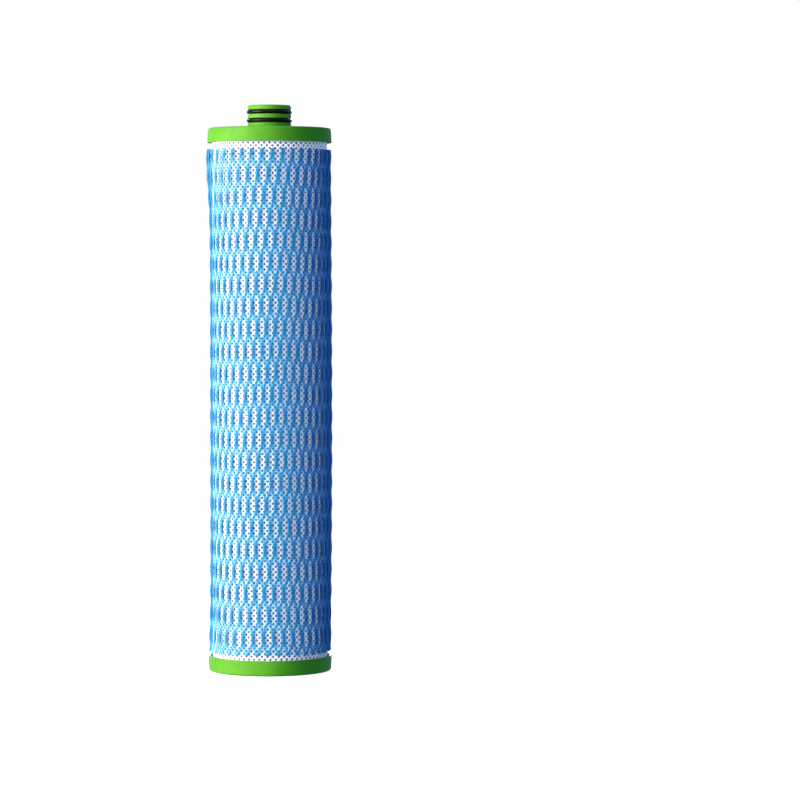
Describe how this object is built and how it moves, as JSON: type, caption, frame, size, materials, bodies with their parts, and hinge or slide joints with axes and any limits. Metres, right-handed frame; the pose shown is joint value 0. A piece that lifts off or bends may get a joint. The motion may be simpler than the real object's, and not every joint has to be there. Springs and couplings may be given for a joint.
{
  "type": "inline water filter cartridge",
  "caption": "Tall round water filter cartridge: net-covered carbon block between two shallow end caps, with a short central spigot sealed by O-rings on top.",
  "frame": {"origin": "middle of the bottom cap's underside", "axes": "+Z along the cartridge's axis, from the closed bottom cap towards the outlet spigot"},
  "size_m": [0.0568, 0.0568, 0.2584],
  "materials": {
    "cap_plastic": "satin",
    "seal_rubber": "satin",
    "carbon": "matte",
    "fleece": "matte",
    "white_net": "satin",
    "blue_net": "satin",
    "hot_glue": "satin"
  },
  "bodies": {
    "root": {"top_end_cap": "cap_plastic", "bottom_end_cap": "cap_plastic", "upper_o_ring": "seal_rubber", "lower_o_ring": "seal_rubber", "carbon_block": "carbon", "core_fleece": "fleece", "fine_net": "white_net", "blue_net": "blue_net", "top_glue": "hot_glue", "bottom_glue": "hot_glue"}
  },
  "joints": []
}
